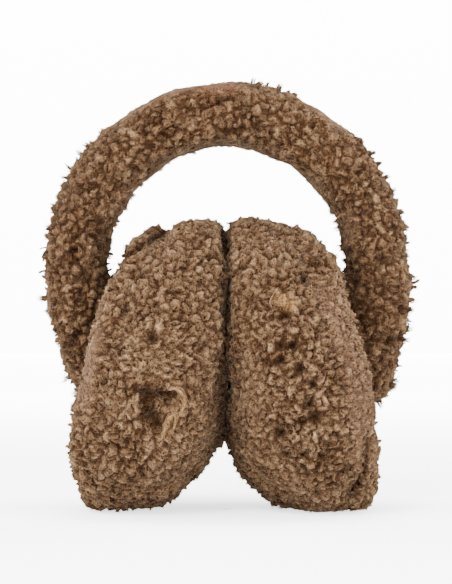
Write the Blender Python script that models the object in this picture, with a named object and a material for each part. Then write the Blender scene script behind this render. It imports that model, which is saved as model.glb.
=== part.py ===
"""Fur earmuffs in curly fleece, standing on their two round ear cups.

The cups lean together at the top and their ear pads press flat against each other. Each cup is a plump ear
pad and a flatter outer cover that meet in a round seam. A padded headband makes an open ring above them,
and its ends taper down the outer sides of the cups. The fleece's curls are raised as short locks, one for
each cell of a backing.

Metres. +X is to the right as seen from the front, +Y goes away from the viewer, and +Z is up.
"""

import math
import random

import bmesh
import bpy
import numpy as np
from mathutils import Vector

# Clearance between neighbouring pieces
GAP = 0.0003

# Ear cups
CUP_RADIUS = 0.0618  # at a cup's widest, to the backing of the fleece
CUP_LEAN = math.radians(13.5)  # how far a cup's top leans inwards
FOOT_PRESS = 0.0028  # how far a cup's foot is pressed flat by what it stands on
PAD_THICKNESS = 0.0455  # from the seam to the crown of an ear pad that nothing presses
PAD_PRESS = 0.0066  # how far each ear pad is pressed flat by the other
PAD_BULGE = 0.008  # how far inside the seam an ear pad is widest
COVER_THICKNESS = 0.0182  # from the seam to the crown of an outer cover
COVER_BULGE = 0.005  # how far outside the seam a cover is widest
SEAM_TUCK = 0.0045  # how far the seam draws the fleece in

# Headband
BAND_INNER_RADIUS = 0.0506
BAND_THICKNESS = 0.0259  # along the ring's radius
BAND_WIDTH = 0.038  # front to back
ARCH_CLEARANCE = 0.0342  # from the cups' tops to the inside of the headband's crown
LEG_DROP = 0.0135  # how far below a cup's centre the headband's end lies
LEG_END_THICKNESS = 0.0045
LEG_END_WIDTH = 0.024
SEAT_PRESS = 0.0012  # how far the headband's end is pressed into an outer cover
SEAT_SLOPE = math.radians(12)  # how far the seat leans inwards at its top
SEAT_BLEND = 0.016  # height over which the ring's inside turns into the seat
BEND_ROOM = 0.0012  # more room between band and cup, where that turn is sharpest

# Locks of the fleece
LOCK_PITCH = 0.0073  # about the size of a cell of the backing
LOCK_HEIGHT = 0.0026
LOCK_SWAY = 0.0012  # how far a lock's tip leans to one side
BACKING_ROUGHNESS = 0.0007
CELL_JITTER = 0.2  # how far the corners of the cells stray, as a share of the pitch

# The two sides differ a little, as hand-stuffed pieces do
SIDES = {
    "left": {
        "sign": -1,
        "turn": math.radians(12),  # how far the ear side faces the viewer
        "spread": -0.0015,  # how far the cup stands out from its place
        "lift": 0.0148,  # how far the crown of the ear pad is pushed up by the other one
        "leg": -0.001,  # how much thicker the end of the headband is
        "seed": 11,
    },
    "right": {
        "sign": 1,
        "turn": math.radians(7),
        "spread": 0.0,
        "lift": 0.0130,
        "leg": 0.0025,
        "seed": 23,
    },
}

# Fullness of the rounded outlines: 2 is an ellipse, and more is boxier
BAND_FULLNESS = 2.6
PAD_SHAPE = {
    "thickness": PAD_THICKNESS,
    "bulge": PAD_BULGE,
    "fullness": 2.55,
}
COVER_SHAPE = {"thickness": COVER_THICKNESS, "bulge": COVER_BULGE, "fullness": 1.9}

CUP_X = PAD_THICKNESS * math.cos(CUP_LEAN) - PAD_PRESS  # centre of the seam
CUP_Z = CUP_RADIUS * math.cos(CUP_LEAN) - FOOT_PRESS
CUP_TOP = CUP_Z + CUP_RADIUS * math.cos(CUP_LEAN) + COVER_BULGE * math.sin(CUP_LEAN)
BAND_OUTER_RADIUS = BAND_INNER_RADIUS + BAND_THICKNESS
RING_Z = CUP_TOP + ARCH_CLEARANCE - BAND_INNER_RADIUS
LEG_END_Z = CUP_Z - LEG_DROP

FLEECE_COLOUR = (0.26, 0.145, 0.078, 1)
PAD_COLOUR = (0.28, 0.16, 0.088, 1)


def smoothstep(t):
    t = min(max(t, 0.0), 1.0)
    return t * t * (3 - 2 * t)


def seat_x(z, spread):
    """The plane that a headband's end lies on, as a distance from the middle."""
    crown = CUP_X + (COVER_THICKNESS - SEAT_PRESS) / math.cos(CUP_LEAN)
    return crown + spread + (CUP_Z - LEG_DROP / 2 - z) * math.tan(SEAT_SLOPE)


def seat_share(z):
    """0 where the headband's inner side is still the ring's, and 1 where it is the seat."""
    return smoothstep((RING_Z - z) / SEAT_BLEND)


def band_inside(z, spread):
    """The headband's inner side below the ring's centre: the ring's own, turning into the seat."""
    share = seat_share(z)
    return BAND_INNER_RADIUS * (1 - share) + seat_x(z, spread) * share


def band_outside(z, spread, leg):
    """The headband's outer side below the ring's centre: upright at first, and closing on the seat."""
    share = (RING_Z - z) / (RING_Z - LEG_END_Z)
    end = seat_x(LEG_END_Z, spread) + LEG_END_THICKNESS + leg
    return BAND_OUTER_RADIUS + (end - BAND_OUTER_RADIUS) * share**2


def under_band(x, y, z, spread):
    """Brings a point of a right cup inside the headband's inner side, where the band lies on it."""
    beside = LOCK_PITCH + LOCK_HEIGHT
    if abs(y) > BAND_WIDTH / 2 + beside or z < LEG_END_Z - beside:
        return x, z
    if z < RING_Z:
        share = seat_share(z)
        room = GAP / 2 + BEND_ROOM * 4 * share * (1 - share)
        return min(x, band_inside(z, spread) - room), z
    reach = math.hypot(x, z - RING_Z)
    most = BAND_INNER_RADIUS - GAP / 2
    if reach <= most:
        return x, z
    return x * most / reach, RING_Z + (z - RING_Z) * most / reach


def rounded(angle, fullness):
    """Cosine and sine of a superellipse."""
    c, s = math.cos(angle), math.sin(angle)
    power = 2 / fullness
    return math.copysign(abs(c) ** power, c), math.copysign(abs(s) ** power, s)


def dome_outline(thickness, bulge, fullness, steps=160):
    """A cup piece's outline from its crown to the seam, as radii, heights and lengths so far."""
    rows = []
    for i in range(steps + 1):
        c, s = rounded(math.pi / 2 * (1 - i / steps), fullness)
        rows.append((CUP_RADIUS * c, bulge + (thickness - bulge) * s))
    for i in range(1, steps + 1):
        share = i / steps
        rows.append((CUP_RADIUS - SEAM_TUCK * share**2, bulge * (1 - share)))
    radius, height = np.array(rows).T
    length = np.concatenate([[0], np.cumsum(np.hypot(np.diff(radius), np.diff(height)))])
    return radius, height, length


def half_sphere(cells):
    """Upper half of a ball in even four-sided cells, made from a cube's grid."""
    bm = bmesh.new()
    bmesh.ops.create_cube(bm, size=2)
    bmesh.ops.subdivide_edges(bm, edges=bm.edges[:], cuts=cells - 1, use_grid_fill=True)
    lower = [f for f in bm.faces if f.calc_center_median().z < 0]
    bmesh.ops.delete(bm, geom=lower, context="FACES")
    for v in bm.verts:
        v.co = Vector([math.tan(c * math.pi / 4) for c in v.co]).normalized()
    return bm


def raise_locks(bm, draw):
    """One lock of curls on each cell: its tip stands up from the middle and leans to one side."""
    tips = bmesh.ops.poke(bm, faces=bm.faces[:])["verts"]
    bm.normal_update()
    for v in tips:
        sway = Vector([draw.uniform(-1, 1) for _ in range(3)])
        sway -= sway.dot(v.normal) * v.normal
        v.co += v.normal * LOCK_HEIGHT * draw.uniform(0.55, 1.15) + sway * LOCK_SWAY


def close_rims(bm):
    """A flat face over each open rim, and all faces turned outwards."""
    rims = [e for e in bm.edges if e.is_boundary]
    bmesh.ops.holes_fill(bm, edges=rims)
    bmesh.ops.recalc_face_normals(bm, faces=bm.faces[:])


def add_piece(name, bm, colour):
    mesh = bpy.data.meshes.new(name)
    bm.to_mesh(mesh)
    bm.free()
    mesh.shade_smooth()
    mesh.set_sharp_from_angle(angle=math.radians(60))
    material = bpy.data.materials.new(name + "_fleece")
    material.use_nodes = True
    shader = material.node_tree.nodes["Principled BSDF"]
    shader.inputs["Base Color"].default_value = colour
    shader.inputs["Roughness"].default_value = 0.95
    shader.inputs["Metallic"].default_value = 0.0
    mesh.materials.append(material)
    piece = bpy.data.objects.new(name, mesh)
    bpy.context.collection.objects.link(piece)
    return piece


def cup_axes(turn):
    """Outward, across and up axes of a right cup that leans inwards and turns its ear side to the front."""
    level = math.cos(CUP_LEAN)
    out = Vector((level * math.cos(turn), level * math.sin(turn), math.sin(CUP_LEAN)))
    across = Vector((-math.sin(turn), math.cos(turn), 0))
    return out, across, out.cross(across)


def settle(p, centre, out, up, inner, spread):
    """Presses one point of a right cup flat where it meets its neighbours and what it stands on."""
    if p.z < 0:
        p -= up * (p.z / up.z)
    p.x = max(p.x, GAP / 2)
    p.x, p.z = under_band(p.x, p.y, p.z, spread)
    past = (p - centre).dot(out) * inner
    if past < GAP / 2:
        p += out * inner * (GAP / 2 - past)
    return p


def make_cup_piece(name, side, shape, inner, colour):
    """One half of a cup. inner is -1 for the ear pad, inside the seam, and 1 for the outer cover."""
    draw = random.Random(side["seed"] + 5 * inner)
    out, across, up = cup_axes(side["turn"])
    centre = Vector((CUP_X + side["spread"], 0, CUP_Z))
    radii, heights, lengths = dome_outline(shape["thickness"], shape["bulge"], shape["fullness"])
    bm = half_sphere(2 * math.ceil(lengths[-1] / LOCK_PITCH / 2))
    for v in bm.verts:
        around = math.atan2(v.co.y, v.co.x)
        down = math.acos(min(max(v.co.z, 0), 1)) / (math.pi / 2)
        radius = np.interp(down * lengths[-1], lengths, radii)
        height = np.interp(down * lengths[-1], lengths, heights)
        if down < 0.999:
            radius += draw.uniform(-1, 0) * BACKING_ROUGHNESS
            around += draw.uniform(-1, 1) * CELL_JITTER * LOCK_PITCH / CUP_RADIUS
        lift = side["lift"] * height / shape["thickness"] if inner < 0 else 0
        flat = across * radius * math.cos(around) + up * (radius * math.sin(around) + lift)
        v.co = centre + flat + out * inner * (height + GAP / 2)
    if inner < 0:
        bmesh.ops.reverse_faces(bm, faces=bm.faces[:])
    raise_locks(bm, draw)
    for v in bm.verts:
        v.co = settle(v.co, centre, out, up, inner, side["spread"])
        v.co.x *= side["sign"]
    close_rims(bm)
    return add_piece(name, bm, colour)


def leg_row(z, width, side):
    """One station of a leg: outer point, inner point, width, and whether the inner side lies flat."""
    outer = band_outside(z, side["spread"], side["leg"])
    inner = band_inside(z, side["spread"]) + GAP / 2
    return (side["sign"] * outer, z), (side["sign"] * inner, z), width, True


def band_stations():
    """The headband's stations, as leg_row gives them, from its left end to its right end."""
    arc = math.pi * (BAND_INNER_RADIUS + BAND_THICKNESS / 2)
    arc_steps = 2 * round(arc / LOCK_PITCH / 2)
    leg_steps = round((RING_Z - LEG_END_Z) / LOCK_PITCH)
    leg = []
    for i in range(1, leg_steps + 1):
        share = i / leg_steps
        z = RING_Z + (LEG_END_Z - RING_Z) * share
        leg.append((z, BAND_WIDTH + (LEG_END_WIDTH - BAND_WIDTH) * share**3))
    rows = []
    for z, width in reversed(leg):
        rows.append(leg_row(z, width, SIDES["left"]))
    for i in range(arc_steps + 1):
        angle = math.pi * (i / arc_steps - 0.5)
        way = (math.sin(angle), math.cos(angle))
        outer = (BAND_OUTER_RADIUS * way[0], RING_Z + BAND_OUTER_RADIUS * way[1])
        inner = (BAND_INNER_RADIUS * way[0], RING_Z + BAND_INNER_RADIUS * way[1])
        rows.append((outer, inner, BAND_WIDTH, False))
    for z, width in leg:
        rows.append(leg_row(z, width, SIDES["right"]))
    return rows


def beside_cups(p):
    """Keeps a point of the headband outside its own inner side, where the cups lie close."""
    if p.z < RING_Z:
        spread = SIDES["right" if p.x > 0 else "left"]["spread"]
        p.x = math.copysign(max(abs(p.x), band_inside(p.z, spread) + GAP / 2), p.x)
        return p
    reach = math.hypot(p.x, p.z - RING_Z)
    least = BAND_INNER_RADIUS + GAP / 2
    if reach < least:
        p.x *= least / reach
        p.z = RING_Z + (p.z - RING_Z) * least / reach
    return p


def make_headband():
    draw = random.Random(5)
    rows = band_stations()
    half_round = math.pi * math.sqrt((BAND_THICKNESS**2 + BAND_WIDTH**2) / 8)
    around = 2 * round(half_round / LOCK_PITCH)
    bm = bmesh.new()
    rings = []
    for outer, inner, width, flat in rows:
        middle = Vector(((outer[0] + inner[0]) / 2, 0, (outer[1] + inner[1]) / 2))
        half = Vector((outer[0], 0, outer[1])) - middle
        ring = []
        for k in range(around):
            turn = 2 * math.pi * (k + draw.uniform(-1, 1) * CELL_JITTER) / around
            c, s = rounded(turn, BAND_FULLNESS)
            # The inner side of a leg is pressed flat where it lies on its cup
            c = max(c * 1.25, -1) if flat and c < 0 else c
            p = middle + half * c + Vector((0, width / 2 * s, 0))
            ring.append(bm.verts.new(p))
        rings.append(ring)
    for a, b in zip(rings, rings[1:]):
        for k in range(around):
            bm.faces.new((a[k], a[(k + 1) % around], b[(k + 1) % around], b[k]))
    bm.normal_update()
    bmesh.ops.recalc_face_normals(bm, faces=bm.faces[:])
    middle_face = max(bm.faces, key=lambda f: f.calc_center_median().z)
    if middle_face.normal.z < 0:
        bmesh.ops.reverse_faces(bm, faces=bm.faces[:])
    raise_locks(bm, draw)
    for v in bm.verts:
        if v.co.z < CUP_TOP + LOCK_HEIGHT:
            v.co = beside_cups(v.co)
    close_rims(bm)
    return add_piece("headband", bm, FLEECE_COLOUR)


def stand_on_origin(pieces):
    """The middle of the whole part's box goes over the origin. The feet are on the ground already."""
    corners = np.array([v.co for piece in pieces for v in piece.data.vertices])
    shift = -(corners.min(axis=0) + corners.max(axis=0)) / 2
    for piece in pieces:
        for v in piece.data.vertices:
            v.co.x += shift[0]
            v.co.y += shift[1]


def main():
    for old in list(bpy.data.objects):
        bpy.data.objects.remove(old)
    pieces = [make_headband()]
    for name, side in SIDES.items():
        pieces.append(make_cup_piece(name + "_ear_pad", side, PAD_SHAPE, -1, PAD_COLOUR))
        pieces.append(make_cup_piece(name + "_outer_cover", side, COVER_SHAPE, 1, FLEECE_COLOUR))
    stand_on_origin(pieces)


main()
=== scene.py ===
import math

import bpy
import numpy as np
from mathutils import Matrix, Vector
from mathutils.bvhtree import BVHTree
from mathutils.kdtree import KDTree


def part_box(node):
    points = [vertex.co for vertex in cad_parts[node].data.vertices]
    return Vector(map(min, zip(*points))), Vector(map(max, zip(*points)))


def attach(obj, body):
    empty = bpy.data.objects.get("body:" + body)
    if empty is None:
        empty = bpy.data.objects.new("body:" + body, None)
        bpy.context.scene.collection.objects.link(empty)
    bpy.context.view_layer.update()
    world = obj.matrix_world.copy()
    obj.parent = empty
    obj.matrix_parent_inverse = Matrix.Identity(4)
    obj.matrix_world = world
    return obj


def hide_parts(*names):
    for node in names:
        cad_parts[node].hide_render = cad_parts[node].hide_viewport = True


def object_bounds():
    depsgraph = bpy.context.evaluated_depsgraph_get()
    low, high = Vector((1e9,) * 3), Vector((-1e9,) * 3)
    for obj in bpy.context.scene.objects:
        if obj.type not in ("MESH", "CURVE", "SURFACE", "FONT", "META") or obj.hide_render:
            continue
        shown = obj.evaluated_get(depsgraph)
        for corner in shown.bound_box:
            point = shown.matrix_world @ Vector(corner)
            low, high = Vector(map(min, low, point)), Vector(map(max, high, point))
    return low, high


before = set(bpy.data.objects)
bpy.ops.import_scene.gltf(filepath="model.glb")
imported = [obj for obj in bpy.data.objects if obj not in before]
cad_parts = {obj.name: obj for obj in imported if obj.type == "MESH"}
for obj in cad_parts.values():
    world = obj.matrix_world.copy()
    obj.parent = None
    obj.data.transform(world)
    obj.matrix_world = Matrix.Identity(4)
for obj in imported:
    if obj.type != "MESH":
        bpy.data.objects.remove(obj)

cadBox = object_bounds()
mm = 0.001

# The photo's frame in pixels, and the size of a pixel at the depth of the headband
photo = {"high": 584, "middle": 226, "floor": 509, "metresPerPixel": 0.424 * mm}
view = {"distance": 1.0, "height": 92 * mm, "sensor": 36}
studio = {
    "lamps": {
        "key": {"at": (-0.35, -0.95, 0.85), "size": 0.6, "watts": 42.0},
        "fill": {"at": (0.80, -0.80, 0.40), "size": 0.8, "watts": 15.0},
        "top": {"at": (0.05, -0.05, 1.10), "size": 0.7, "watts": 26.0},
        "left rim": {"at": (-0.85, 0.45, 0.45), "size": 0.6, "watts": 22.0},
        "right rim": {"at": (0.85, 0.45, 0.45), "size": 0.6, "watts": 22.0},
    },
    "world": 1.4,
    "tent": {"radius": 2.6, "height": 0.75},  # pale wall all round
    "floor": {"colour": 0.80, "roughness": 0.95},
    "glow": {"strength": 9.0, "near": 0.2, "dimWithin": 0.25, "fullBeyond": 1.1},
    "rings": {"centre": 0.002, "first": 0.1, "count": 26, "sides": 64},
}


# Shader maths: one output socket, with arithmetic that adds nodes
class Signal:
    def __init__(self, tree, socket):
        self.tree = tree
        self.socket = socket

    def maths(self, operation, *values):
        return self.tree.node("ShaderNodeMath", {"operation": operation}, dict(enumerate(values)))

    def __add__(self, other):
        return self.maths("ADD", self, other)

    __radd__ = __add__

    def __sub__(self, other):
        return self.maths("SUBTRACT", self, other)

    def __rsub__(self, other):
        return self.maths("SUBTRACT", other, self)

    def __mul__(self, other):
        return self.maths("MULTIPLY", self, other)

    __rmul__ = __mul__

    def clamped(self, low=0.0, high=1.0):
        return self.maths("MINIMUM", self.maths("MAXIMUM", self, low), high)


class Tree:
    def __init__(self, material):
        material.use_nodes = True
        self.nodes = material.node_tree.nodes
        self.links = material.node_tree.links
        self.shader = self.nodes["Principled BSDF"]

    def node(self, kind, settings=None, sockets=None, out=0):
        made = self.nodes.new(kind)
        for name, value in (settings or {}).items():
            if name == "stops":
                self.setStops(made.color_ramp, value)
            else:
                setattr(made, name, value)
        self.feed(made, sockets or {})
        return Signal(self, made.outputs[out])

    def setStops(self, ramp, stops):
        while len(ramp.elements) < len(stops):
            ramp.elements.new(1.0)
        for element, (place, colour) in zip(ramp.elements, stops):
            element.position = place
            element.color = (*colour, 1)

    def feed(self, node, sockets):
        # A value is set on the socket itself, and a signal is linked to it
        for name, value in sockets.items():
            if isinstance(value, Signal):
                self.links.new(value.socket, node.inputs[name])
            else:
                node.inputs[name].default_value = value

    def attribute(self, name, out="Fac"):
        return self.node("ShaderNodeAttribute", {"attribute_name": name}, out=out)

    def noise(self, place, scale, detail):
        return self.node("ShaderNodeTexNoise", None, {"Vector": place, "Scale": scale, "Detail": detail})

    def mixColours(self, share, first, second, way="MIX"):
        settings = {"data_type": "RGBA", "blend_type": way}
        return self.node("ShaderNodeMix", settings, {0: share, 6: first, 7: second}, out=2)


def addObject(name, data):
    made = bpy.data.objects.new(name, data)
    bpy.context.scene.collection.objects.link(made)
    return made


def storeValues(mesh, name, values):
    # One number or one vector on each point, for the material to read
    kind, key = ("FLOAT", "value") if values.ndim == 1 else ("FLOAT_VECTOR", "vector")
    store = mesh.attributes.new(name, kind, "POINT")
    store.data.foreach_set(key, values.astype(np.float32).ravel())


def ringFaces(rings, sides):
    # Faces between neighbouring rings of points
    faces = []
    for row in range(rings - 1):
        for k in range(sides):
            low, n = row * sides, (k + 1) % sides
            faces.append((low + k, low + n, low + sides + n, low + sides + k))
    return faces


def smoothStep(low, high, values):
    share = np.clip((values - low) / (high - low), 0, 1)
    return share * share * (3 - 2 * share)


# Camera, light, floor and a pale wall all round
def makeCamera():
    camera = addObject("camera", bpy.data.cameras.new("camera"))
    camera.data.sensor_fit = "AUTO"
    camera.data.sensor_width = view["sensor"]
    camera.data.lens = view["sensor"] * view["distance"] / (photo["high"] * photo["metresPerPixel"])
    camera.data.dof.use_dof = False
    camera.location = (0, -view["distance"], view["height"])
    camera.rotation_euler = (math.pi / 2, 0, 0)
    bpy.context.scene.camera = camera


def makeLamp(name, lamp):
    light = bpy.data.lights.new(name, "AREA")
    light.shape = "DISK"
    light.size = lamp["size"]
    light.energy = lamp["watts"]
    holder = addObject(name, light)
    holder.location = lamp["at"]
    aim = Vector((0, 0, cadBox[1][2] / 2)) - holder.location
    holder.rotation_euler = aim.to_track_quat("-Z", "Y").to_euler()


def stageMaterial(name):
    floor, material = studio["floor"], bpy.data.materials.new(name)
    tree = Tree(material)
    tree.feed(tree.shader, {
        "Base Color": (floor["colour"], floor["colour"], floor["colour"], 1),
        "Roughness": floor["roughness"],
        "Specular IOR Level": 0.0,
        "Emission Color": tree.mixColours(tree.attribute("glow"), (0, 0, 0, 1), (1, 1, 1, 1)),
        "Emission Strength": studio["glow"]["strength"],
    })
    return material


def makeStage():
    # Rings of points, joined into one sheet whose glow grows with the radius, so that the far floor is white
    tent, glows, ring = studio["tent"], studio["glow"], studio["rings"]
    radii = np.concatenate([[ring["centre"]], np.linspace(ring["first"], tent["radius"], ring["count"])])
    outline = [(radius, 0.0) for radius in radii] + [(tent["radius"], tent["height"])]
    glow = smoothStep(glows["dimWithin"], glows["fullBeyond"], np.append(radii, tent["radius"]))
    glow = glows["near"] + (1 - glows["near"]) * glow
    points = []
    for radius, height in outline:
        for k in range(ring["sides"]):
            turn = 2 * math.pi * k / ring["sides"]
            points.append((radius * math.cos(turn), radius * math.sin(turn), height))
    mesh = bpy.data.meshes.new("floor")
    mesh.from_pydata(points, [], ringFaces(len(outline), ring["sides"]))
    mesh.shade_smooth()
    storeValues(mesh, "glow", np.repeat(glow, ring["sides"]))
    mesh.materials.append(stageMaterial("floor"))
    addObject("floor", mesh)


def makeWorld():
    world = bpy.data.worlds.new("studio")
    world.use_nodes = True
    backdrop = world.node_tree.nodes["Background"]
    backdrop.inputs["Color"].default_value = (1, 1, 1, 1)
    backdrop.inputs["Strength"].default_value = studio["world"]
    bpy.context.scene.world = world


makeCamera()
for lampName, lamp in studio["lamps"].items():
    makeLamp(lampName, lamp)
makeWorld()
makeStage()
print("camera, light and floor: done")


def seenAt(points):
    # Where the photo shows each point, in its pixels
    scale = view["distance"] / (points[:, 1] + view["distance"])
    across = photo["middle"] + points[:, 0] * scale / photo["metresPerPixel"]
    height = view["height"] + (points[:, 2] - view["height"]) * scale
    return across, photo["floor"] - height / photo["metresPerPixel"]


def waves(points, size, seed, count=7):
    # A soft random field: a few crossing waves, the same in each run
    rng = np.random.default_rng(seed)
    total = np.zeros(len(points))
    for _ in range(count):
        way = rng.normal(size=3)
        way *= 2 * math.pi / (size * rng.uniform(0.7, 1.5) * np.linalg.norm(way))
        total += np.sin(points @ way + rng.uniform(0, 2 * math.pi))
    return total / math.sqrt(count / 2)


def unit(vectors):
    return vectors / np.maximum(np.linalg.norm(vectors, axis=-1, keepdims=True), 1e-12)


def alongSurface(ways, normals):
    return unit(ways - normals * (ways * normals).sum(-1, keepdims=True))


def turned(vectors, normals, degrees):
    # Turns each vector about its normal
    angle = np.radians(degrees)[:, None]
    return vectors * np.cos(angle) + np.cross(normals, vectors) * np.sin(angle)


def treeOf(spots):
    tree = KDTree(len(spots))
    for i, spot in enumerate(spots):
        tree.insert(spot, i)
    tree.balance()
    return tree


# Where a piece swells: a line or a point in the photo's pixels, its width in pixels, and the move in mm
swells = {
    "headband": [
        {"line": [(226, 105)], "wide": 95, "move": (0, 0, 1.4)},
        {"line": [(165, 92), (195, 87), (240, 84)], "wide": 16, "move": (0, 0, 2.1)},
        {"line": [(270, 88), (305, 98), (338, 124)], "wide": 12, "move": (0.4, 0, 1.0)},
        {"line": [(297, 93)], "wide": 7, "move": (0.4, 0, 1.8)},
        {"line": [(346, 135), (394, 188)], "wide": 12, "move": (0.5, 0, 0.4)},
        {"line": [(403, 290), (396, 345), (380, 395)], "wide": 22, "move": (1.6, 0, 0)},
        {"line": [(112, 118), (78, 150)], "wide": 14, "move": (-0.6, 0, 0.7)},
        {"line": [(112, 124), (150, 101), (172, 91)], "wide": 9, "move": (-0.4, 0, 0.8)},
        {"line": [(48, 218), (68, 168), (92, 138)], "wide": 10, "move": (-0.8, 0, 0.3)},
        {"line": [(378, 404)], "wide": 9, "move": (1.7, 0, -0.6)},
    ],
    "left_ear_pad": [
        {"line": [(185, 222), (205, 226)], "wide": 30, "move": (0, 0, 5.3)},
        {"line": [(214, 455), (196, 482)], "wide": 20, "move": (-2.5, 0, 2.7)},
        {"line": [(218, 448)], "wide": 12, "move": (-0.9, 0, 1.4)},
    ],
    "right_ear_pad": [
        {"line": [(242, 224), (285, 226)], "wide": 30, "move": (0, 0, 5.7)},
        {"line": [(229, 450)], "wide": 13, "move": (0.9, 0, 1.6)},
        {"line": [(240, 470), (280, 505)], "wide": 18, "move": (-0.8, 0, -0.8)},
    ],
    "left_outer_cover": [
        {"line": [(150, 228)], "wide": 24, "move": (0, 0, 3.2)},
        {"line": [(128, 246)], "wide": 14, "move": (-1.9, 0, 2.3)},
        {"line": [(108, 262)], "wide": 22, "move": (-1.0, 0, 0.6)},
        {"line": [(76, 490)], "wide": 16, "move": (1.8, 0, 0.6)},
    ],
    "right_outer_cover": [
        {"line": [(300, 235), (335, 270)], "wide": 26, "move": (1.6, 0, 1.9)},
        {"line": [(378, 428), (378, 478)], "wide": 14, "move": (-1.0, 0, 0)},
    ],
}

# What the photo shows in one place only: a line in its pixels, and what lies along it as (width, amount).
# sink and raise are in mm; short and crisp shape the pile; comb turns it towards "way"; the rest are colours,
# and the darkening among them is painted shade.
marks = [
    # crease under the lump at the top of the left cup, with painted shade in it
    {"line": [(168, 230), (141, 247), (121, 260), (112, 274)], "sink": (4, 2.6), "dark": (3.2, 0.85)},
    # the crater lower down on the left cup, with painted shade in it, and the swirl of pale curls round it
    {"line": [(146, 398), (160, 402), (155, 418)], "sink": (9, 4.2)},
    {"line": [(143, 392), (170, 393)], "dark": (7, 0.9)},
    {"line": [(146, 398), (149, 412), (157, 424)], "dark": (9, 0.9)},
    {"line": [(132, 350), (176, 350)], "crisp": (26, 0.95)},
    {"line": [(120, 430), (150, 455), (180, 450)], "crisp": (18, 0.6)},
    {"line": [(150, 398), (154, 416)], "short": (9, 0.85)},
    {"line": [(176, 386), (184, 402), (172, 420), (162, 436)], "orange": (4.5, 0.35)},
    {"line": [(172, 384), (182, 392), (181, 406), (170, 424), (162, 438)], "light": (4.5, 1.5)},
    {"line": [(136, 400), (130, 414)], "light": (5, 1.2)},
    {"line": [(126, 358), (180, 352)], "comb": (26, 4.0), "way": (1.0, 0, 0.12)},
    {"line": [(130, 352), (172, 366)], "light": (16, 0.55)},
    # smoother strip down the left cup, made paler along its rim: painted sheen
    {"line": [(97, 335), (90, 365), (87, 400)], "pale": (7, 0.55)},
    {"line": [(110, 310), (92, 352), (86, 400)], "short": (8, 0.65)},
    # the right cup's curls between its pits, with the orange tuft and the pale ridge above and beside them
    {"line": [(290, 440), (325, 440)], "comb": (26, 3.0), "way": (0.15, 0, 1.0)},
    {"line": [(281, 300), (289, 306)], "orange": (6, 0.8), "light": (6, 0.6)},
    {"line": [(324, 292), (330, 315), (350, 352), (358, 400), (362, 455)], "pale": (13, 0.4)},
    {"line": [(330, 315), (350, 352), (358, 400), (362, 450)], "short": (12, 0.35)},
    # a painted shadow line beside the pale ridge
    {"line": [(316, 306), (328, 330)], "dark": (2.5, 0.5)},
    {"line": [(310, 284), (324, 306), (336, 334), (346, 368), (352, 400)], "raise": (6, 1.4)},
    {"line": [(331, 256)], "raise": (5, 1.4)},
    {"line": [(290, 330), (300, 400), (305, 450)], "crisp": (24, 0.9)},
    # between the cups: the groove, with painted shade in it
    {"line": [(226, 215), (226, 360)], "sink": (5.5, 3.2)},
    {"line": [(225, 360), (225, 450)], "sink": (9, 3.4)},
    {"line": [(226, 225), (226, 366)], "dark": (6, 0.75)},
    {"line": [(225, 366), (226, 440)], "dark": (11, 0.75)},
    {"line": [(206, 390), (202, 440), (178, 480), (130, 500)], "short": (15, 0.5)},
    {"line": [(243, 300), (245, 400), (262, 455), (300, 495)], "short": (14, 0.5)},
    {"line": [(135, 250), (180, 228), (215, 232)], "short": (14, 0.4)},
    # the crease above the lobe at the lower right, and the cups' undersides, both darkened with painted shade
    {"line": [(366, 438), (365, 466), (357, 484), (348, 491)], "sink": (4, 2.2)},
    {"line": [(366, 440), (365, 466), (357, 484), (348, 491)], "dark": (3.2, 0.75)},
    {"line": [(233, 450), (250, 480), (272, 498), (300, 507)], "dark": (5, 0.6)},
    {"line": [(219, 446), (206, 470), (182, 492), (150, 505), (100, 509)], "dark": (4.5, 0.5)},
    # headband: sheared strips at the shoulders, which run through to the back
    {"line": [(116, 124), (152, 99), (196, 87), (240, 85)], "short": (12, 0.88), "through": True},
    {"line": [(304, 102), (336, 124)], "short": (10, 0.88), "through": True},
    {"line": [(120, 115), (155, 92), (190, 83)], "pale": (7, 0.6), "through": True},
    {"line": [(306, 99), (336, 120)], "pale": (6, 0.4), "through": True},
    # its smoother inner edge
    {
        "line": [
            (112, 262), (118, 225), (140, 185), (180, 153), (226, 143),
            (272, 152), (312, 183), (334, 225), (342, 262),
        ],
        "short": (9, 0.7), "through": True, "piece": "headband",
    },
    # its reddish patch at the crown, painted shade in the crease below that, and painted shade beside the
    # cups
    {"line": [(201, 87), (232, 86)], "rust": (6, 0.75)},
    {"line": [(214, 131), (238, 127), (262, 130)], "dark": (3, 0.5), "sink": (4, 1.0)},
    {"line": [(113, 268), (104, 300), (98, 335)], "dark": (9, 0.6), "piece": "headband"},
    {"line": [(352, 262), (364, 300), (374, 335)], "dark": (9, 0.6), "piece": "headband"},
]

# Pits between the curls of the cups, sunk and darkened with painted shade, as (x, y, width) in the photo's
# pixels
pits = [
    (152, 339, 4.5), (304, 281, 2.5), (284, 316, 5), (281, 346, 4), (293, 346, 4),
    (280, 361, 4.5), (301, 368, 4), (312, 383, 4), (309, 404, 4.5), (314, 417, 6),
    (302, 421, 3.5), (281, 431, 4), (287, 452, 3), (303, 453, 3), (320, 455, 3),
]
pitLook = {"spread": 1.35, "amounts": {"sink": 2.8, "dark": 1.0, "short": 0.9}}
for x, y, wide in pits:
    pit = {kind: (pitLook["spread"] * wide, amount) for kind, amount in pitLook["amounts"].items()}
    marks.append({"line": [(x, y)], **pit})

# A mark fades where the surface turns away from the front, and behind the middle of the piece
fade = {"facing": (-0.45, 0.0), "depth": (-12 * mm, 4 * mm)}


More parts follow.
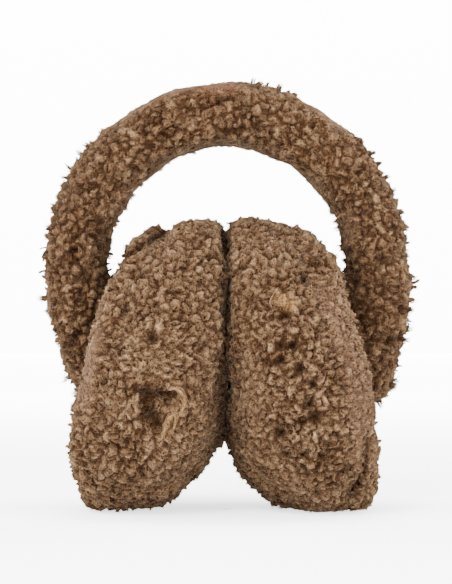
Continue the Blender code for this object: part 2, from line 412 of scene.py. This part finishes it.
def lineDistance(points, line):
    # How far each point is from a line of the photo, in its pixels
    across, down = seenAt(points)
    best = np.full(len(points), 1e6)
    for (x0, y0), (x1, y1) in zip(line, line[1:] or line):
        runX, runY = x1 - x0, y1 - y0
        share = np.clip(((across - x0) * runX + (down - y0) * runY) / max(runX**2 + runY**2, 1e-9), 0, 1)
        best = np.minimum(best, np.hypot(across - x0 - share * runX, down - y0 - share * runY))
    return best


def weight(points, line, wide):
    return np.exp(-((lineDistance(points, line) / wide) ** 2))


def marked(kind, points, normals, node):
    # How strongly marks of one kind lie on each point
    front = smoothStep(*fade["facing"], -normals[:, 1]) * smoothStep(*fade["depth"], -points[:, 1])
    total = np.zeros(len(points))
    for mark in marks:
        if kind in mark and mark.get("piece", node) == node:
            wide, amount = mark[kind]
            shown = 1 if mark.get("through") else front
            total = np.maximum(total, amount * weight(points, mark["line"], wide) * shown)
    return total


# The backing of each piece: the solid's own form, remeshed, smoothed, split finely and sunk below the pile
backing = {
    "soften": 0.5, "passes": 9, "splits": 2,
    "sink": 1.25 * mm, "lumps": 0.45 * mm, "lumpSize": 20 * mm,
}
meeting = {"within": 7 * mm, "swell": 1.5 * mm}  # beside another piece the backings swell until they meet


class Skin:
    def __init__(self, nodeName, grain):
        self.remesh(nodeName, grain)
        self.measure()
        inward = backing["sink"] + backing["lumps"] * waves(self.points, backing["lumpSize"], len(nodeName))
        beside = 1 - smoothStep(0, meeting["within"], self.distance(nodeName))
        inward = inward - beside * (backing["sink"] + meeting["swell"])
        self.points = self.points - self.normals * inward[:, None]
        for swell in swells[nodeName]:
            share = weight(self.points, swell["line"], swell["wide"])
            self.points = self.points + share[:, None] * np.array(swell["move"]) * mm
        self.measure()
        raised = marked("raise", self.points, self.normals, nodeName)
        raised = raised - marked("sink", self.points, self.normals, nodeName)
        self.points = self.points + self.normals * raised[:, None] * mm
        self.search = BVHTree.FromPolygons([tuple(p) for p in self.points], self.faces)

    def remesh(self, nodeName, grain):
        work = addObject(nodeName + "Work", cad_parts[nodeName].data.copy())
        even = work.modifiers.new("even", "REMESH")
        even.mode = "VOXEL"
        even.voxel_size = grain
        soft = work.modifiers.new("soft", "SMOOTH")
        soft.factor = backing["soften"]
        soft.iterations = backing["passes"]
        split = work.modifiers.new("split", "SUBSURF")
        split.levels = split.render_levels = backing["splits"]
        bpy.context.view_layer.update()
        mesh = bpy.data.meshes.new_from_object(work.evaluated_get(bpy.context.evaluated_depsgraph_get()))
        bpy.data.objects.remove(work)
        self.points = np.array([v.co for v in mesh.vertices])
        self.faces = [tuple(p.vertices) for p in mesh.polygons]
        bpy.data.meshes.remove(mesh)

    def distance(self, nodeName):
        # How far each point is from the nearest other piece
        far = np.full(len(self.points), meeting["within"])
        for name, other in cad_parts.items():
            if name == nodeName or name not in swells:
                continue
            corners = [v.co for v in other.data.vertices]
            tree = BVHTree.FromPolygons(corners, [p.vertices for p in other.data.polygons])
            for i, point in enumerate(self.points.tolist()):
                found = tree.find_nearest(point, far[i])
                if found[3] is not None:
                    far[i] = min(far[i], found[3])
        return far

    def measure(self):
        fans = [(f[0], f[i], f[i + 1]) for f in self.faces for i in range(1, len(f) - 1)]
        self.triangles = np.array(fans)
        corners = self.points[self.triangles]
        cross = np.cross(corners[:, 1] - corners[:, 0], corners[:, 2] - corners[:, 0])
        self.areas = np.linalg.norm(cross, axis=1) / 2
        normals = np.zeros_like(self.points)
        for k in range(3):
            np.add.at(normals, self.triangles[:, k], cross)
        self.normals = unit(normals)


def scatter(skin, spacing, rng, tries=5):
    # Spots over the skin, none nearer to another than the spacing
    count = int(skin.areas.sum() / spacing**2 * tries)
    picked = rng.choice(len(skin.areas), count, p=skin.areas / skin.areas.sum())
    u, v = rng.random(count), rng.random(count)
    over = u + v > 1
    u[over], v[over] = 1 - u[over], 1 - v[over]
    corners = skin.triangles[picked]
    shares = np.stack([1 - u - v, u, v], axis=1)[:, :, None]
    spots = (skin.points[corners] * shares).sum(axis=1)
    normals = unit((skin.normals[corners] * shares).sum(axis=1))
    tree = treeOf(spots)
    passed = np.zeros(count, bool)
    kept = []
    for i in range(count):
        if not passed[i]:
            kept.append(i)
            for _, j, _ in tree.find_range(spots[i], spacing):
                passed[j] = True
    return spots[kept], normals[kept]


# How far the pile may grow: up to "most", from just off the skin, and to the floor where it points down
clear = {"most": 6 * mm, "start": 0.1 * mm, "downward": 0.05}


def freeRoom(spots, normals, others):
    room = np.full(len(spots), clear["most"])
    down = normals[:, 2] < -clear["downward"]
    room[down] = np.minimum(room[down], spots[down, 2] / -normals[down, 2])
    for i, (spot, normal) in enumerate(zip(spots, normals)):
        start = Vector(spot + normal * clear["start"])
        for other in others:
            hit = other.search.ray_cast(start, Vector(normal), clear["most"])
            if hit[0] is not None:
                room[i] = min(room[i], hit[3])
    return room


# The fleece's relief: every clump is a rounded, slightly drawn-out nub with a crease round it that the
# material darkens as painted shade
relief = {
    "near": 6,  # clumps tried for each point
    "warp": 0.55 * mm, "warpSize": 4 * mm, "warpWaves": 12,
    "drawn": 1.3, "drawnCrisp": 0.55,
    "gap": 2.0,  # width of the crease, in mm
    "fine": 0.14 * mm, "fineSize": 2.4 * mm, "fineWaves": 14,
    "lean": 0.35, "leanFrom": 0.4,
    "reachLow": 0.06, "reachGain": 0.76,
    "strandAcross": 0.16, "strandAlong": 0.2,
}


def strandNumber(indices):
    # Sets each clump and lock apart in the strands' noise
    return indices * 0.37 % 41.0


def clumpRelief(skin, spots, normals, ways, rise, crisp, seed):
    warp = [waves(skin.points, relief["warpSize"], seed * 7 + k, relief["warpWaves"]) for k in range(3)]
    warped = skin.points + relief["warp"] * np.stack(warp, axis=1)
    tree = treeOf(spots)
    nearest = np.array([[found[1] for found in tree.find_n(p, relief["near"])] for p in warped.tolist()])
    offset = warped[:, None, :] - spots[nearest]
    along = (offset * ways[nearest]).sum(-1)
    across = (offset * np.cross(normals, ways)[nearest]).sum(-1)
    upward = (offset * normals[nearest]).sum(-1)
    drawn = relief["drawn"] + relief["drawnCrisp"] * crisp[nearest]
    far = np.sqrt((along / drawn) ** 2 + (across * drawn) ** 2 + upward**2)
    order = np.argsort(far, axis=1)
    rows = np.arange(len(far))
    first, second = order[:, 0], order[:, 1]
    edge = (far[rows, second] - far[rows, first]) / mm
    clump = nearest[rows, first]
    share = smoothStep(0, relief["gap"], edge)
    fine = waves(skin.points, relief["fineSize"], seed * 5 + 3, relief["fineWaves"])
    height = rise[clump] * share + relief["fine"] * fine
    skin.points = skin.points + skin.normals * height[:, None]
    leaning = height * relief["lean"] * (share - relief["leanFrom"])
    skin.points = skin.points + ways[clump] * leaning[:, None]
    # reach is low in the creases and high on the clump tops; the material darkens low reach, which paints
    # shade into the creases
    skin.marks["reach"] = relief["reachLow"] + relief["reachGain"] * share
    # the top of each clump is its point nearest to the spot
    order = np.lexsort((far[rows, first], clump))
    named, place = np.unique(clump[order], return_index=True)
    top = np.zeros(len(spots), int)
    top[named] = order[place]
    across = across[rows, first] / mm * relief["strandAcross"]
    along = along[rows, first] / mm * relief["strandAlong"]
    skin.strand = np.stack([across, along, strandNumber(clump)], axis=1)
    return clump, top


knotWaves = 11  # ripples in a lock's thickness


# Locks: tapered strands that stand up, turn over and curl, all made at once
def growLocks(roots, normals, ways, lengths, turns, thick, shape, rng, draw=None):
    count, rings, sides = len(roots), len(shape["rings"]), shape["sides"]
    along = np.array([*shape["rings"], 1.0])
    angle = turns[:, None] * along
    forward = normals[:, None, :] * np.cos(angle)[:, :, None] + ways[:, None, :] * np.sin(angle)[:, :, None]
    steps = (forward[:, 1:] + forward[:, :-1]) / 2 * lengths[:, None, None] * np.diff(along)[:, None]
    steps = np.concatenate([np.zeros((count, 1, 3)), np.cumsum(steps, axis=1)], axis=1)
    middle = roots[:, None, :] + steps
    side = np.cross(normals, ways)
    sway = np.sin(along * shape["swing"] + rng.uniform(0, 2 * math.pi, count)[:, None])
    sway = sway * along * shape["sway"]
    middle = middle + side[:, None, :] * sway[:, :, None]
    if draw is not None:
        middle = middle + draw[:, None, :] * along[:, None]
    outward = np.cross(forward, side[:, None, :])
    radius = thick[:, None] * np.interp(along, shape["taperAt"], shape["taper"])
    knots = np.sin(along * knotWaves + rng.uniform(0, 2 * math.pi, count)[:, None])
    radius = radius * (1 + shape["knots"] * knots)
    around = 2 * math.pi * np.arange(sides) / sides - math.pi / 2
    ring = side[:, None, None, :] * np.cos(around)[None, None, :, None] * shape["flat"]
    ring = ring + outward[:, :, None, :] * np.sin(around)[None, None, :, None]
    points = (middle[:, :, None, :] + ring * radius[:, :, None, None])[:, :-1]
    points = np.concatenate([points.reshape(count, -1, 3), middle[:, -1:]], axis=1)
    last = (rings - 1) * sides
    caps = [(last + k, last + (k + 1) % sides, last + sides) for k in range(sides)]
    perLock = rings * sides + 1
    first = (np.arange(count) * perLock)[:, None, None]
    quads = np.array(ringFaces(rings, sides), int).reshape(-1, 4)[None] + first
    triangles = np.array(caps)[None] + first
    reach = np.tile(np.append(np.repeat(along[:-1], sides), 1.0), count)
    return {
        "points": points.reshape(-1, 3),
        "faces": quads.reshape(-1, 4).tolist() + triangles.reshape(-1, 3).tolist(),
        "perLock": perLock,
        "reach": shape["start"] + (1 - shape["start"]) * reach,
        "around": np.tile(np.append(np.tile(np.arange(sides) / sides, rings), 0.5), count),
        "count": count,
    }


# What the material reads on each point, beside the strands
markNames = ["tone", "reach", "dark", "pale", "rust", "orange"]
lightGain = 1.6


def marksOn(points, normals, node, tone):
    found = {key: marked(key, points, normals, node) for key in markNames[2:]}
    found["tone"] = tone + lightGain * marked("light", points, normals, node)
    return found


def joinPile(name, skin, groups, material, limit):
    # One mesh from the backing and its pile
    size = len(skin.points)
    points, faces = [skin.points], list(skin.faces)
    kept = {key: [skin.marks[key]] for key in markNames}
    strand = [skin.strand]
    for pile, lockMarks in groups:
        faces += [[corner + size for corner in face] for face in pile["faces"]]
        points.append(pile["points"])
        perPoint = {key: np.repeat(lockMarks[key], pile["perLock"]) for key in markNames if key != "reach"}
        perPoint["reach"] = pile["reach"]
        for key in markNames:
            kept[key].append(perPoint[key])
        number = np.repeat(strandNumber(np.arange(pile["count"])), pile["perLock"])
        strand.append(np.stack([pile["around"], pile["reach"], number], axis=1))
        size += len(pile["points"])
    mesh = bpy.data.meshes.new(name)
    mesh.from_pydata(limit(np.concatenate(points)).tolist(), [], faces)
    mesh.shade_smooth()
    for key, values in kept.items():
        storeValues(mesh, key, np.concatenate(values))
    storeValues(mesh, "strand", np.concatenate(strand))
    mesh.materials.append(material)
    print(name, "triangles", sum(len(f) - 2 for f in faces))
    return addObject(name, mesh)


# Fleece material: dark at the roots and in the creases and pale at the tips, partly the fibres' own colour
# and partly painted shade deep in the pile, with fine strands along each lock
fleece = {
    "stops": [
        (0.00, (0.0060, 0.0027, 0.0013)),
        (0.30, (0.0195, 0.0098, 0.0050)),
        (0.62, (0.0490, 0.0282, 0.0148)),
        (1.00, (0.0980, 0.0605, 0.0335)),
    ],
    "lift": 0.22,
    "reachGain": 0.55,
    "toneGain": 0.11,
    "mottleGain": 0.35,
    "mottleScale": 130.0,
    "fineScale": 1500.0,
    "strands": 7.0,
    "kinks": 2.0,
    "strandContrast": 1.3,
    "fineContrast": 1.8,
    # painted shade for creases, pits, the groove between the cups and the cups' undersides
    "darkColour": (0.0050, 0.0020, 0.0009),
    # pale fleece, and also the painted sheen along the left cup's rim
    "paleColour": (0.062, 0.036, 0.0215),
    "rustColour": (0.050, 0.021, 0.0115),
    "orangeColour": (0.090, 0.048, 0.019),
    "bump": 0.7,
    "bumpDepth": 0.7 * mm,
    "strandHeight": 0.6,
    "fineHeight": 0.8,
    "roughness": 0.95,
    "sheen": 0.09,
    "sheenRoughness": 0.3,
    "sheenTint": (0.88, 0.66, 0.46),
}


def fleeceMaterial(name, look):
    material = bpy.data.materials.new(name)
    tree = Tree(material)
    tone, reach = tree.attribute("tone"), tree.attribute("reach")
    strand = tree.attribute("strand", "Vector")
    place = tree.node("ShaderNodeTexCoord", out="Object")
    mottle = tree.noise(place, look["mottleScale"], 3.0)
    fine = tree.noise(place, look["fineScale"], 3.0)
    stretch = {0: strand, 1: (look["strands"], look["kinks"], 1.0)}
    hairs = tree.noise(tree.node("ShaderNodeVectorMath", {"operation": "MULTIPLY"}, stretch), 1.0, 2.0)
    depth = reach * look["reachGain"] + tone * look["toneGain"]
    depth = depth + (mottle - 0.5) * look["mottleGain"] + look["lift"]
    colour = tree.node("ShaderNodeValToRGB", {"stops": look["stops"]}, {0: depth.clamped()})
    for mark in ("pale", "rust", "orange", "dark"):
        colour = tree.mixColours(tree.attribute(mark), colour, (*look[mark + "Colour"], 1))
    grain = (hairs - 0.5) * look["strandContrast"] + (fine - 0.5) * look["fineContrast"] + 0.5
    grey = tree.node("ShaderNodeCombineColor", None, {0: grain, 1: grain, 2: grain})
    height = hairs * look["strandHeight"] + fine * look["fineHeight"]
    bump = {"Strength": look["bump"], "Distance": look["bumpDepth"], "Height": height}
    tree.feed(tree.shader, {
        "Base Color": tree.mixColours(1.0, colour, grey, "SOFT_LIGHT"),
        "Normal": tree.node("ShaderNodeBump", None, bump),
        "Roughness": look["roughness"],
        "Specular IOR Level": 0.0,
        "Sheen Weight": look["sheen"],
        "Sheen Roughness": look["sheenRoughness"],
        "Sheen Tint": (*look["sheenTint"], 1),
    })
    return material


# What grows on a clump: a blunt nub, on the headband a curl that stands up, and the hairs of a tuft.
# turn is in degrees, thin is the least share of the thickness, start is how pale the root is,
# and a high "tall" makes long hairs rare.
nub = {
    "rings": (0.0, 0.75), "sides": 4, "taperAt": (0.0, 0.75), "taper": (0.9, 0.95), "flat": 1.1, "knots": 0.1,
    "turn": (80, 180), "swing": 3.0, "sway": 0.3 * mm, "start": 0.4,
    "thick": (0.55 * mm, 0.90 * mm), "thin": 0.3, "length": (1.7 * mm, 2.7 * mm), "depth": 0.7 * mm,
}
bandNub = {
    **nub, "rings": (0.0, 0.45, 0.82), "taperAt": (0.0, 0.45, 0.82), "taper": (1.0, 1.0, 0.85), "knots": 0.2,
    "turn": (20, 140), "swing": 4.0, "sway": 0.45 * mm, "start": 0.45,
    "thick": (0.50 * mm, 0.85 * mm), "length": (2.2 * mm, 4.8 * mm), "depth": 0.9 * mm,
}
hair = {
    "rings": (0.0,), "sides": 3, "taperAt": (0.0, 1.0), "taper": (1.0, 0.0), "flat": 1.2, "knots": 0.0,
    "turn": (60, 150), "swing": 6.0, "sway": 0.2 * mm, "start": 0.5,
    "thick": (0.15 * mm, 0.28 * mm), "thin": 0.4, "length": (1.2 * mm, 3.3 * mm), "tall": 1.6,
    "depth": 0.2 * mm, "spread": 0.9 * mm, "gather": 0.0, "drop": 0.6 * mm,
}
bandHair = {
    **hair, "turn": (10, 90), "thick": (0.13 * mm, 0.25 * mm), "length": (1.2 * mm, 5.6 * mm), "tall": 3.2,
    "spread": 1.1 * mm, "gather": -0.1, "drop": 0.5 * mm,
}

# The pieces
headband = {
    "node": "headband", "slot": "band_fleece", "fill": 0.7, "seed": 1, "tone": -0.7,
    "grain": 4.3 * mm, "spacing": 2.9 * mm, "rise": 1.8 * mm,
    "nub": bandNub, "nubs": 0.23, "hair": bandHair, "tufts": 0.65, "hairs": 24,
}
leftPad = {
    "node": "left_ear_pad", "slot": "pad_fleece", "fill": 0.85, "seed": 2, "tone": 0.0,
    "grain": 3.5 * mm, "spacing": 2.8 * mm, "rise": 2.0 * mm,
    "nub": nub, "nubs": 0.7, "hair": hair, "tufts": 0.9, "hairs": 10,
}
rightPad = {**leftPad, "node": "right_ear_pad", "seed": 3}
leftCover = {
    **leftPad, "node": "left_outer_cover", "slot": "cover_fleece", "fill": 0.6, "seed": 4, "grain": 3.0 * mm,
}
rightCover = {**leftCover, "node": "right_outer_cover", "seed": 5}
pieces = [headband, leftPad, rightPad, leftCover, rightCover]

skins = {piece["node"]: Skin(piece["node"], piece["grain"]) for piece in pieces}
print("backings: done")

# The two pads press together along a wavy plane, and nothing goes below the floor
seamAt = (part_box("left_ear_pad")[1].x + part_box("right_ear_pad")[0].x) / 2
touch = {"wave": 0.7 * mm, "waveSize": 16 * mm, "seed": 77, "gap": -0.2 * mm, "floor": 0.1 * mm}


def limitsOf(piece):
    sign = {"left_ear_pad": -1, "right_ear_pad": 1}.get(piece["node"], 0)

    def limit(points):
        points[:, 2] = np.maximum(points[:, 2], touch["floor"])
        if sign:
            flat = points * (0, 1, 1)
            plane = seamAt + touch["wave"] * waves(flat, touch["waveSize"], touch["seed"])
            points[:, 0] = plane + sign * np.maximum(sign * (points[:, 0] - plane), touch["gap"])
        return points

    return limit


# How nubs and hairs are set on the clumps: none grow with less room or pile than this; angles are in degrees
nubSet = {"room": 0.7 * mm, "pile": 0.5, "turn": 15, "back": 0.5 * mm, "most": 5 * mm, "tone": 0.3}
tuftSet = {
    "room": 0.7 * mm, "pile": 0.08, "fullPile": 1.3, "turn": 60, "shift": 0.6 * mm,
    "hairTurn": 22, "hairBend": 15, "hairLength": (0.55, 1.05), "overRoom": 1.5, "tone": 0.4,
}


def growNubs(piece, skin, bed, rng):
    shape = piece["nub"]
    chosen = rng.random(len(bed["room"])) < piece["nubs"]
    on = np.flatnonzero(chosen & (bed["room"] > nubSet["room"]) & (bed["long"] > nubSet["pile"]))
    count, up = len(on), bed["normals"][on]
    way = turned(bed["ways"][on], up, rng.normal(size=count) * nubSet["turn"])
    roots = skin.points[bed["top"][on]] - bed["ways"][on] * nubSet["back"]
    lengths = np.minimum(rng.uniform(*shape["length"], count), nubSet["most"] * bed["long"][on])
    thick = rng.uniform(*shape["thick"], count) * np.clip(lengths / shape["length"][0], shape["thin"], 1)
    turns = np.radians(rng.uniform(*shape["turn"], count))
    grown = growLocks(roots - up * shape["depth"], up, way, lengths, turns, thick, shape, rng)
    tone = bed["tone"][on] + nubSet["tone"] * rng.normal(size=count)
    return grown, marksOn(roots, up, piece["node"], tone)


def growTufts(piece, skin, bed, rng):
    # Fine hairs in tufts: those of one tuft share a way to lie, and spread a little at their roots
    shape, spotCount = piece["hair"], len(bed["room"])
    on = np.repeat(np.arange(spotCount), rng.poisson(piece["tufts"], spotCount))
    on = on[(bed["room"][on] > tuftSet["room"]) & (bed["long"][on] > tuftSet["pile"])]
    tufts, up = len(on), bed["normals"][on]
    way = turned(bed["ways"][on], up, rng.normal(size=tufts) * tuftSet["turn"])
    turns = rng.uniform(*shape["turn"], tufts)
    least, most = shape["length"]
    lengths = least + (most - least) * rng.random(tufts) ** shape["tall"]
    lengths = lengths * np.clip(bed["long"][on] * tuftSet["fullPile"], 0, 1)
    shift = turned(way, up, rng.uniform(0, 360, tufts)) * rng.random(tufts)[:, None] * tuftSet["shift"]
    middle = skin.points[bed["top"][on]] + shift
    # from here on there is one entry for each hair
    each = np.repeat(np.arange(tufts), piece["hairs"])
    count, up, way = len(each), up[each], way[each]
    share = np.sqrt(rng.random(count))
    apart = turned(way, up, rng.uniform(0, 360, count)) * (share * shape["spread"])[:, None]
    roots = middle[each] + apart - up * (share**2 * shape["drop"])[:, None]
    way = turned(way, up, rng.normal(size=count) * tuftSet["hairTurn"])
    turns = np.radians(turns[each] + tuftSet["hairBend"] * rng.normal(size=count))
    lengths = lengths[each] * rng.uniform(*tuftSet["hairLength"], count)
    lengths = np.minimum(lengths, bed["room"][on[each]] * tuftSet["overRoom"])
    thick = rng.uniform(*shape["thick"], count) * np.clip(lengths / shape["length"][0], shape["thin"], 1)
    roots = roots - up * shape["depth"]
    grown = growLocks(roots, up, way, lengths, turns, thick, shape, rng, -apart * shape["gather"])
    tone = bed["tone"][on[each]] + tuftSet["tone"] * rng.normal(size=count)
    return grown, marksOn(roots, up, piece["node"], tone)


# Single curls that the photo shows, by piece: a line in its pixels, thickness and lift in mm, and colours
curls = {
    "left_ear_pad": [
        {"line": [(166, 388), (176, 387), (183, 394), (183, 405), (177, 414)],
         "thick": 1.25, "lift": 1.3, "tone": 1.2, "orange": 0.3},
        {"line": [(178, 411), (169, 415), (165, 426), (160, 438)],
         "thick": 1.35, "lift": 1.3, "tone": 1.4, "orange": 0.35},
        {"line": [(171, 408), (175, 418), (171, 430)], "thick": 0.9, "lift": 1.4, "tone": 0.8, "orange": 0.4},
        {"line": [(137, 392), (134, 402), (137, 413)], "thick": 1.3, "lift": 1.2, "tone": 0.9},
        {"line": [(131, 398), (127, 410), (131, 419)], "thick": 1.1, "lift": 1.2, "tone": 0.6},
    ],
    "right_ear_pad": [
        {"line": [(275, 296), (271, 303), (273, 312)], "thick": 0.28, "lift": 3.0, "tone": 3.5, "pale": 0.6},
    ],
    "headband": [
        {"line": [(92, 191), (97, 191)], "thick": 0.45, "lift": 3.0, "tone": 6.0, "pale": 0.9},
    ],
}
curlShape = {
    "steps": 4, "sides": 6, "smoothing": 3,
    "swellFrom": 0.12, "swellSpan": 0.8, "thinnest": 0.1, "knobs": 0.22, "knobWaves": 23,
    "reach": 0.75, "reachSwing": 0.25, "reachWaves": 9,
}


def castCurl(line):
    # Points on the pieces along a line in the photo's pixels, and the way the surface faces there
    stops = np.linspace(0, len(line) - 1, curlShape["steps"] * len(line))
    across, down = (np.interp(stops, np.arange(len(line)), line[:, k]) for k in (0, 1))
    eye = Vector((0, -view["distance"], view["height"]))
    middle, facing = [], []
    for x, z in zip(across - photo["middle"], photo["floor"] - down):
        aim = (Vector((x * photo["metresPerPixel"], 0, z * photo["metresPerPixel"])) - eye).normalized()
        hits = [skin.search.ray_cast(eye, aim, 2 * view["distance"]) for skin in skins.values()]
        hit = min([h for h in hits if h[0] is not None], key=lambda h: h[3])
        middle.append(hit[0])
        facing.append(hit[1])
    return np.array(middle), unit(np.array(facing))


def traceCurl(curl):
    shape, sides = curlShape, curlShape["sides"]
    middle, facing = castCurl(np.array(curl["line"], float))
    for _ in range(shape["smoothing"]):
        middle[1:-1] = (middle[:-2] + middle[1:-1] * 2 + middle[2:]) / 4
        facing[1:-1] = unit(facing[:-2] + facing[1:-1] + facing[2:])
    count = len(middle)
    middle = middle + facing * curl["lift"] * mm
    ahead = unit(np.gradient(middle, axis=0))
    side = unit(np.cross(facing, ahead))
    outward = np.cross(ahead, side)
    along = np.linspace(0, 1, count)
    swell = np.sin(math.pi * (shape["swellFrom"] + shape["swellSpan"] * along))
    radius = curl["thick"] * mm * np.clip(swell, shape["thinnest"], 1)
    radius = radius * (1 + shape["knobs"] * np.sin(along * shape["knobWaves"]))
    points = []
    for k in range(sides):
        turn = 2 * math.pi * k / sides
        points.append(middle + (side * math.cos(turn) + outward * math.sin(turn)) * radius[:, None])
    ends = [list(range(sides))[::-1], [(count - 1) * sides + k for k in range(sides)]]
    reach = shape["reach"] + shape["reachSwing"] * np.sin(along * shape["reachWaves"])
    pile = {
        "points": np.stack(points, axis=1).reshape(-1, 3),
        "faces": ringFaces(count, sides) + ends,
        "perLock": count * sides,
        "reach": np.repeat(reach, sides),
        "around": np.tile(np.arange(sides) / sides, count),
        "count": 1,
    }
    return pile, {key: np.array([curl.get(key, 0.0)]) for key in markNames}


# How clumps differ from one another, over the surface and where the marks make them crisp
clumps = {
    "waysSeed": 60, "waysSize": 15 * mm, "waysScatter": 1.0,
    "toneSeed": 120, "toneSize": 6 * mm, "toneWaves": 0.5, "toneScatter": 0.6,
    "rise": (0.6, 1.2), "roomForAll": 1.5 * mm, "leastRise": 0.4, "crispRise": 0.45, "crispReach": 0.3,
}


def waysToLie(spots, normals, seed, rng):
    # Ways that drift over the surface and scatter about that drift, with the combed places last
    ways = [waves(spots, clumps["waysSize"], clumps["waysSeed"] + 3 * seed + k) for k in range(3)]
    ways = np.stack(ways, axis=1)
    ways = alongSurface(ways + clumps["waysScatter"] * rng.normal(size=ways.shape), normals)
    for mark in marks:
        if "comb" in mark:
            wide, amount = mark["comb"]
            ways = ways + amount * weight(spots, mark["line"], wide)[:, None] * np.array(mark["way"])
    return alongSurface(ways, normals)


def growPiece(piece, material):
    node, seed = piece["node"], piece["seed"]
    skin = skins[node]
    rng = np.random.default_rng(seed)
    spots, normals = scatter(skin, piece["spacing"], rng)
    ways = waysToLie(spots, normals, seed, rng)
    room = freeRoom(spots, normals, [other for name, other in skins.items() if name != node])
    long = 1 - marked("short", spots, normals, node)
    crisp = marked("crisp", spots, normals, node)
    rise = piece["rise"] * rng.uniform(*clumps["rise"], len(spots))
    rise = rise * np.clip(room / clumps["roomForAll"], clumps["leastRise"], 1)
    rise = rise * long * (1 + clumps["crispRise"] * crisp)
    tone = piece["tone"] + waves(spots, clumps["toneSize"], clumps["toneSeed"] + seed) * clumps["toneWaves"]
    tone = tone + rng.normal(size=len(spots)) * clumps["toneScatter"]
    skin.marks = marksOn(skin.points, skin.normals, node, 0)
    clump, top = clumpRelief(skin, spots, normals, ways, rise, crisp, seed)
    skin.marks["tone"] = skin.marks["tone"] + tone[clump]
    skin.marks["reach"] = skin.marks["reach"] * (1 + clumps["crispReach"] * crisp[clump])
    bed = {"normals": normals, "ways": ways, "top": top, "room": room, "long": long, "tone": tone}
    groups = [growNubs(piece, skin, bed, rng)]
    groups.append(growTufts(piece, skin, {**bed, "long": long * (1 - crisp)}, rng))
    groups += [traceCurl(curl) for curl in curls.get(node, [])]
    made = joinPile(node + "_fleece", skin, groups, material, limitsOf(piece))
    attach(made, "root")
    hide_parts(piece["node"])


material = fleeceMaterial("fleece", fleece)
for piece in pieces:
    growPiece(piece, material)
print("fleece: done")
